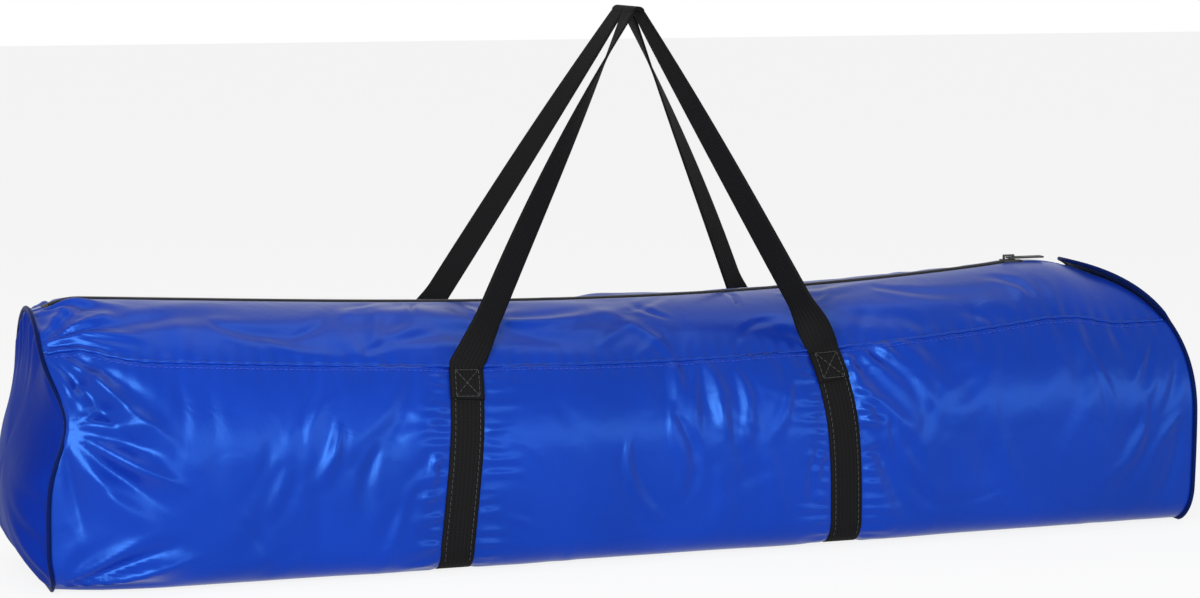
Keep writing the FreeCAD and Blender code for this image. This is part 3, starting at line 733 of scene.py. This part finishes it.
def make_handle(side_y):
    """Two legs and the arch between them, in one ribbon that bends where its foot is sewn."""
    node = "front_handle" if side_y < 0 else "rear_handle"
    apex = np.array([APEX_X, side_y * APEX_Y, APEX_Z + 0.004])
    left, left_ways = leg_points("left", side_y, apex)
    right, right_ways = leg_points("right", side_y, apex)
    arch, arch_ways = [], []
    for angle in np.linspace(math.pi, 0, 9)[1:-1]:
        around = np.array([math.cos(angle), 0, -1 + math.sin(angle)])
        arch.append(apex + APEX_RADIUS * around)
        arch_ways.append(np.array([0, 1.0, 0]))
    centres = np.array(left + arch + right[::-1])
    ways = left_ways + arch_ways + right_ways[::-1]
    steady = [ways[0]]
    for way in ways[1:]:
        steady.append(way if np.dot(way, steady[-1]) >= 0 else -way)
    wide = np.array(steady)
    ahead = unit_rows(np.gradient(centres, axis=0))
    wide = unit_rows(wide - ahead * np.sum(wide * ahead, axis=1)[:, None])
    out = np.cross(ahead, wide)
    obj = ribbon(node + "_webbing", centres, wide, out, STRAP, STRAP_THICK)
    dress(obj, MATERIALS["webbing"])
    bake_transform(obj)
    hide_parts(node)
    return obj


# ------------------------------------------------------------------ along the sagging crown
def loft(name, xs, section):
    """A closed bar along the bag; section(x) gives its corners (y, z) at each x."""
    points = np.array([[(x, y, z) for y, z in section(x)] for x in xs])
    obj = grid_mesh(name, points, closed_columns=True)
    return close_ends(obj, points.shape[0], points.shape[1])


def crown_bar(name, start, stop, near, far, low, high):
    """A bar that follows the crown, between two distances from its middle and two depths."""
    def section(x):
        _, height, _, _, radius = section_sizes(x)
        centre = height - radius
        corners = []
        for y, depth in ((near, low), (far, low), (far, high), (near, high)):
            corners.append((y, centre + math.sqrt((radius - depth) ** 2 - y * y)))
        return corners
    return loft(name, np.linspace(start, stop, LOFT_POINTS), section)


def make_zip_half(name, side):
    """One half of the zip: its tape, and its coil wound beside the middle."""
    strip = crown_bar("zip_%s_tape" % name, CROWN_START_X, CROWN_END_X - 0.002,
                      near=side * 0.0007, far=side * 0.0155, low=0.0019, high=0.0012)
    finish_piece(strip, "zip_tape", "zip_tape_" + name)
    turns = int((ZIP_RIGHT - ZIP_LEFT) / COIL_PITCH)
    angle = np.linspace(0, 2 * math.pi * turns, turns * 9)
    x = np.linspace(ZIP_LEFT, ZIP_RIGHT, len(angle))
    meshed = math.pi if side > 0 else 0     # so that the two coils' turns fall between each other
    y = side * (0.0016 - 0.0012 * np.cos(angle + meshed))
    z = crown_height(x) - 0.0001 + 0.0007 * np.sin(angle)
    teeth = tube_along("zip_%s_coil" % name, np.stack([x, y, z], axis=-1), 0.00035, 5, False)
    finish_piece(teeth, "zip_coil", "zip_coil_" + name)


def make_zip_ends():
    """The fabric tab over each end of the zip, and the stops between the tabs and the coils."""
    left = (CROWN_START_X, ZIP_LEFT - STOP_LENGTH, "left")
    right = (ZIP_RIGHT + STOP_LENGTH, CROWN_END_X + 0.001, "right")
    for start, stop, name in (left, right):
        tab = crown_bar("zip_%s_tab" % name, start, stop, near=-0.0063, far=0.0063, low=0.0009, high=-0.0002)
        finish_piece(tab, "bag_fabric", "zip_end_tab_" + name)
    gap = 0.0005
    pieces = []
    for start, stop in ((ZIP_LEFT - STOP_LENGTH, ZIP_LEFT - gap), (ZIP_RIGHT + gap, ZIP_RIGHT + STOP_LENGTH)):
        pieces.append(crown_bar("stop", start, stop, near=-0.0032, far=0.0032, low=0.0011, high=-0.0008))
    finish_piece(join(pieces, "zip_end_stops"), "zip_metal", "zip_stops")


def join(pieces, name):
    """Several meshes made one object."""
    first = pieces[0]
    with bpy.context.temp_override(active_object=first, selected_editable_objects=pieces):
        bpy.ops.object.join()
    first.name = name
    return first


def make_seam(name, side):
    """The turned-in allowance under a lengthwise seam, with the rolled edge that shows outside."""
    def section(x):
        y, z, ny, nz = (float(v) for v in crown_point(np.array(x), np.array(1.0)))
        corners = []
        for depth, across in ((0.0012, -0.0008), (0.0012, 0.0008), (0.009, 0.0008), (0.009, -0.0008)):
            corners.append((-side * (y - ny * depth + nz * across), z - nz * depth - ny * across))
        return corners
    last = float(right_limit(np.array(SEAM_Z))) - 0.004
    binding = loft("%s_seam_tape" % name, np.linspace(LEFT_X + 0.012, last, LOFT_POINTS), section)
    finish_piece(binding, "binding", name + "_seam_binding")
    x = np.linspace(LEFT_X + 0.010, last + 0.002, 420)
    y, z, ny, nz = crown_point(x, np.ones_like(x))
    lift = -0.0002 + seam_ripple(x, np.zeros_like(x), SEAM_SEED) * 0.7
    path = np.stack([x, -side * (y + ny * lift), z + nz * lift], axis=-1)
    edge = tube_along("%s_seam_edge" % name, path, 0.0013, 8, False, (0.03, 0.1, 1.0))
    finish_piece(edge, "bag_fabric")


# ------------------------------------------------------------------ stitching
def stitch_mesh(name, stitches, material, length=0.0030, radius=0.00032):
    """Thread, one stitch for each (point, way along the row, outward normal). A stitch is four
    square rings: it rises out of the cloth, runs along it and goes back in."""
    rings = ((-0.5, -0.6), (-0.32, 0.5), (0.32, 0.5), (0.5, -0.6))
    vertices, faces = [], []
    for point, along, outward in stitches:
        side = np.cross(along, outward)
        base = len(vertices)
        for share, rise in rings:
            middle = point + along * (share * length) + outward * (rise * radius)
            for a, b in ((1, 0), (0, 1), (-1, 0), (0, -1)):
                vertices.append(tuple(middle + side * (a * radius) + outward * (b * radius)))
        for ring in range(3):
            for corner in range(4):
                a = base + 4 * ring + corner
                b = base + 4 * ring + (corner + 1) % 4
                faces.append((a, b, b + 4, a + 4))
        faces.append(tuple(base + corner for corner in range(4)))
        faces.append(tuple(base + 12 + corner for corner in range(4))[::-1])
    mesh = bpy.data.meshes.new(name)
    mesh.from_pydata(vertices, [], faces)
    shade_smooth(mesh)
    return finish_piece(add_object(name, mesh), "webbing", material=material)


def band_stitches(side):
    """Two rows, near the edges of a band, on both walls and stopping short of the base."""
    lift = STRAP_LIFT + STRAP_THICK + STITCH_LIFT
    inset = 0.004
    stitches = []
    for edge in (-1, 1):
        for travel in np.arange(inset, 2 * HALF_GIRTH - inset, STITCH_PITCH):
            side_y, s = girth_place(travel)
            if s > LENGTHS[:2].sum() + 0.012:
                continue
            x = float(band_centre(side, s)) + edge * (STRAP / 2 - STITCH_INSET)
            point, normal = skin_point(side_y, x, s, lift)
            ahead, _ = skin_point(side_y, x, s + 0.002, lift)
            stitches.append((point, unit(ahead - point), normal))
    return stitches


def seam_stitches(side_y):
    """A row beside a lengthwise seam, on the main panel's folds."""
    x = np.arange(LEFT_X + 0.016, float(right_limit(np.array(SEAM_Z))) - 0.008, STITCH_PITCH)
    s = np.full_like(x, 0.004)
    y, z, ny, nz = main_point(x, s)
    lift = wall_relief(x, s, side_y < 0) + 0.0002
    points = np.stack([x, -side_y * (y + ny * lift), z + nz * lift], axis=-1)
    outward = np.stack([np.zeros_like(x), -side_y * ny, nz], axis=-1)
    along = np.array([1.0, 0, 0])
    return [(point, along, normal) for point, normal in zip(points, outward)]


def foot_stitches(side, side_y):
    """The box and cross that hold a handle's foot to its band."""
    lift = STRAP_LIFT + STRAP_THICK * 2.1
    low, high, half = 0.024, 0.004, STRAP / 2 - 0.0035
    corners = [(-half, high), (half, high), (half, low), (-half, low)]
    lines = [(corners[k], corners[(k + 1) % 4]) for k in range(4)]
    lines += [(corners[0], corners[2]), (corners[1], corners[3])]
    stitches = []
    for (x0, s0), (x1, s1) in lines:
        steps = max(2, int(math.hypot(x1 - x0, s1 - s0) / 0.0036))
        for k in range(steps):
            share = (k + 0.5) / steps
            places = []
            for t in (share, share + 0.05):
                s = s0 + (s1 - s0) * t
                x = float(band_centre(side, s)) + x0 + (x1 - x0) * t
                places.append(skin_point(side_y, x, s, lift))
            (point, normal), (ahead, _) = places
            stitches.append((point, unit(ahead - point), normal))
    return stitches


# ------------------------------------------------------------------ materials
def new_material(name):
    """A material with its node tree and its shader."""
    material = bpy.data.materials.new(name)
    material.use_nodes = True
    tree = material.node_tree
    return material, tree, tree.nodes["Principled BSDF"]


def add_node(tree, kind, settings, sources):
    """A node with its sockets set to values (settings) or linked from other sockets (sources)."""
    node = tree.nodes.new("ShaderNode" + kind)
    for socket, value in settings.items():
        node.inputs[socket].default_value = value
    for socket, source in sources.items():
        tree.links.new(source, node.inputs[socket])
    return node


def tone_ramp(tree, source, dark, light, start=0.0, stop=1.0):
    """A colour that goes from dark to light as its source goes from start to stop."""
    ramp = add_node(tree, "ValToRGB", {}, {"Fac": source})
    low, high = ramp.color_ramp.elements
    low.position, high.position = start, stop
    low.color = (*dark, 1)
    high.color = (*light, 1)
    return ramp.outputs["Color"]


def satin(name, light, dark, rough=0.29, gloss=0.75):
    """Coated satin polyester: a fine weave, soft changes of tone and a filmy shine."""
    material, tree, shader = new_material(name)
    place = tree.nodes.new("ShaderNodeTexCoord").outputs["Object"]
    cloud = add_node(tree, "TexNoise", {"Scale": 9, "Detail": 3}, {"Vector": place})
    colour = tone_ramp(tree, cloud.outputs["Fac"], dark, light, 0.35, 0.68)
    tree.links.new(colour, shader.inputs["Base Color"])
    weave = add_node(tree, "TexWave", {"Scale": 420}, {"Vector": place})
    weave.wave_type = "BANDS"
    weave.bands_direction = "X"
    grain = add_node(tree, "TexNoise", {"Scale": 900}, {"Vector": place})
    mix = add_node(tree, "Mix", {"Factor": 0.5},
                   {"A": weave.outputs["Fac"], "B": grain.outputs["Fac"]})
    fine = add_node(tree, "Bump", {"Strength": 0.06, "Distance": 0.0004},
                    {"Height": mix.outputs["Result"]})
    crease = add_node(tree, "TexNoise", {"Scale": 46, "Detail": 4, "Distortion": 0.8},
                      {"Vector": place})
    soft = add_node(tree, "Bump", {"Strength": 0.22, "Distance": 0.0022},
                    {"Height": crease.outputs["Fac"], "Normal": fine.outputs["Normal"]})
    tree.links.new(soft.outputs["Normal"], shader.inputs["Normal"])
    tone = add_node(tree, "MapRange", {"To Min": rough - 0.05, "To Max": rough + 0.08},
                    {"Value": cloud.outputs["Fac"]})
    tree.links.new(tone.outputs["Result"], shader.inputs["Roughness"])
    shader.inputs["Specular IOR Level"].default_value = gloss
    shader.inputs["Specular Tint"].default_value = (0.10, 0.36, 1, 1)
    shader.inputs["Sheen Weight"].default_value = 0.04
    shader.inputs["Sheen Roughness"].default_value = 0.4
    shader.inputs["Sheen Tint"].default_value = (0.3, 0.5, 1, 1)
    return material


def webbing_material(name, colour):
    """Ribbed polypropylene webbing: ribs across the strap, crossed by rows along it."""
    material, tree, shader = new_material(name)
    place = tree.nodes.new("ShaderNodeUVMap").outputs["UV"]
    ribs = add_node(tree, "TexWave", {"Scale": 130, "Distortion": 0.6}, {"Vector": place})
    ribs.bands_direction = "Y"
    rows = add_node(tree, "TexWave", {"Scale": 100}, {"Vector": place})
    rows.bands_direction = "X"
    both = add_node(tree, "Math", {1: 0.6}, {0: ribs.outputs["Fac"], 2: rows.outputs["Fac"]})
    both.operation = "MULTIPLY_ADD"
    relief = add_node(tree, "Bump", {"Strength": 0.5, "Distance": 0.0004},
                      {"Height": both.outputs["Value"]})
    tree.links.new(relief.outputs["Normal"], shader.inputs["Normal"])
    # The weave's hollows are painted darker than its ribs: painted shade that follows the bump's height.
    dark = [channel * 0.55 for channel in colour]
    tree.links.new(tone_ramp(tree, both.outputs["Value"], dark, colour), shader.inputs["Base Color"])
    shader.inputs["Roughness"].default_value = 0.78
    shader.inputs["Specular IOR Level"].default_value = 0.08
    return material


def plain_material(name, colour, rough, metal=0.0):
    """Moulded or enamelled surface with a faint grain."""
    material, tree, shader = new_material(name)
    place = tree.nodes.new("ShaderNodeTexCoord").outputs["Object"]
    grain = add_node(tree, "TexNoise", {"Scale": 300}, {"Vector": place}).outputs["Fac"]
    dark = [channel * 0.8 for channel in colour]
    tree.links.new(tone_ramp(tree, grain, dark, colour), shader.inputs["Base Color"])
    relief = add_node(tree, "Bump", {"Strength": 0.1, "Distance": 0.0003}, {"Height": grain})
    tree.links.new(relief.outputs["Normal"], shader.inputs["Normal"])
    shader.inputs["Roughness"].default_value = rough
    shader.inputs["Metallic"].default_value = metal
    return material


BLUE_LIGHT = (0.0028, 0.0225, 0.265)
BLUE_DARK = (0.0022, 0.0175, 0.21)
MATERIALS = {
    "bag_fabric": satin("bag_satin", BLUE_LIGHT, BLUE_DARK),
    "end_fabric": satin("end_satin", (0.003, 0.017, 0.20), (0.0022, 0.014, 0.17), 0.55, 0.06),
    "piping": satin("piping_satin", (0.002, 0.006, 0.06), (0.0015, 0.004, 0.04), 0.5, 0.1),
    "binding": webbing_material("binding_tape", (0.02, 0.02, 0.022)),
    "webbing": webbing_material("black_webbing", (0.005, 0.005, 0.0055)),
    "zip_tape": webbing_material("zip_tape", (0.012, 0.013, 0.02)),
    "zip_coil": plain_material("zip_coil", (0.02, 0.02, 0.022), 0.45),
    "zip_metal": plain_material("zip_enamel", (0.012, 0.012, 0.012), 0.55),
    "wire": plain_material("spring_steel", (0.5, 0.5, 0.52), 0.35, 1.0),
    "tunnel_fabric": satin("tunnel_satin", BLUE_LIGHT, BLUE_DARK),
    "moulded": plain_material("moulded_black", (0.02, 0.02, 0.02), 0.5),
}
for subpart in frame["record"]["subparts"]:
    dress(frame["nodes"][subpart["node"]], MATERIALS[subpart["material_slot"]])

# ------------------------------------------------------------------ build
THREAD = plain_material("thread", (0.02, 0.02, 0.022), 0.6)
BLUE_THREAD = plain_material("blue_thread", (0.008, 0.04, 0.42), 0.5)
SIDES = (("front", -1), ("rear", 1))

make_main_panel()
for _, side_y in SIDES:
    make_top_panel(side_y)
for end in ("left", "right"):
    make_end_panel(end)
    make_piping(end)
    make_band(end)
for _, side_y in SIDES:
    make_handle(side_y)
for name, side_y in SIDES:
    make_zip_half(name, side_y)
make_zip_ends()
for name, side_y in SIDES:
    make_seam(name, side_y)
for end in ("left", "right"):
    stitch_mesh("%s_band_stitches" % end, band_stitches(end), THREAD)
    for name, side_y in SIDES:
        stitch_mesh("%s_foot_stitches_%s" % (end, name), foot_stitches(end, side_y), THREAD)
for name, side_y in SIDES:
    stitch_mesh("%s_seam_stitches" % name, seam_stitches(side_y), BLUE_THREAD)


# ------------------------------------------------------------------ stage
def background_rays(tree):
    """1 for the rays that show the background: straight, mirrored or through something clear."""
    path = tree.nodes.new("ShaderNodeLightPath")
    seen = path.outputs["Is Camera Ray"]
    for other in ("Is Glossy Ray", "Is Transmission Ray"):
        either = add_node(tree, "Math", {}, {0: seen, 1: path.outputs[other]})
        either.operation = "MAXIMUM"
        seen = either.outputs["Value"]
    return seen


def make_floor():
    """A pale floor that keeps the bag's shadow and glows enough to meet the white backdrop."""
    reach, low = 9, -0.0005
    mesh = bpy.data.meshes.new("floor")
    corners = [(-reach, -reach, low), (reach, -reach, low), (reach, reach, low), (-reach, reach, low)]
    mesh.from_pydata(corners, [], [(0, 1, 2, 3)])
    floor = add_object("floor", mesh)
    material, tree, shader = new_material("floor")
    shader.inputs["Base Color"].default_value = (0.94, 0.94, 0.94, 1)
    shader.inputs["Roughness"].default_value = 0.9
    glow = add_node(tree, "Emission", {"Strength": 1.0}, {})
    share = add_node(tree, "Math", {1: 0.84}, {0: background_rays(tree)})
    share.operation = "MULTIPLY"
    mix = add_node(tree, "MixShader", {},
                   {"Fac": share.outputs["Value"], 1: shader.outputs["BSDF"], 2: glow.outputs["Emission"]})
    tree.links.new(mix.outputs["Shader"], tree.nodes["Material Output"].inputs["Surface"])
    mesh.materials.append(material)


def make_world():
    """A white backdrop that lights the bag less than it shows."""
    world = bpy.data.worlds.new("world")
    bpy.context.scene.world = world
    world.use_nodes = True
    tree = world.node_tree
    backdrop = tree.nodes["Background"]
    backdrop.inputs["Color"].default_value = (1, 1, 1, 1)
    strength = add_node(tree, "MapRange", {"To Min": 0.32, "To Max": 1.0},
                        {"Value": background_rays(tree)})
    tree.links.new(strength.outputs["Result"], backdrop.inputs["Strength"])


def add_light(name, place, target, size, power):
    """A soft rectangular lamp that faces its target."""
    data = bpy.data.lights.new(name, "AREA")
    data.shape = "RECTANGLE"
    data.size, data.size_y = size
    data.energy = power
    lamp = add_object(name, data)
    lamp.location = place
    lamp.rotation_euler = (Vector(target) - Vector(place)).to_track_quat("-Z", "Y").to_euler()


def make_camera():
    """The photograph's view: from the left of the front, a little above the bag's middle."""
    azimuth = math.radians(-18.9)
    elevation = math.radians(7.2)
    distance = 2.397
    target = Vector((-0.0125, 0, 0.1895))
    level = math.cos(elevation)
    back = Vector((math.sin(azimuth) * level, -math.cos(azimuth) * level, math.sin(elevation)))
    data = bpy.data.cameras.new("camera")
    camera = add_object("camera", data)
    camera.location = target + back * distance
    look = (-back).to_track_quat("-Z", "Y").to_matrix()
    roll = Matrix.Rotation(math.radians(0.1), 3, "Z")
    camera.rotation_euler = (look @ roll).to_euler()
    data.sensor_width = 36
    data.lens = 92.2
    bpy.context.scene.camera = camera


make_floor()
make_world()
add_light("key", (-1.25, -1.95, 0.72), (-0.35, 0, 0.12), (1.5, 1.1), 66)
add_light("band", (0.85, -2.3, 0.50), (0, 0, 0.12), (2.6, 0.6), 16)
add_light("top", (0.1, -0.2, 2.2), (0, 0, 0.1), (2.0, 0.7), 7)
make_camera()
bpy.context.scene.view_settings.view_transform = "Standard"
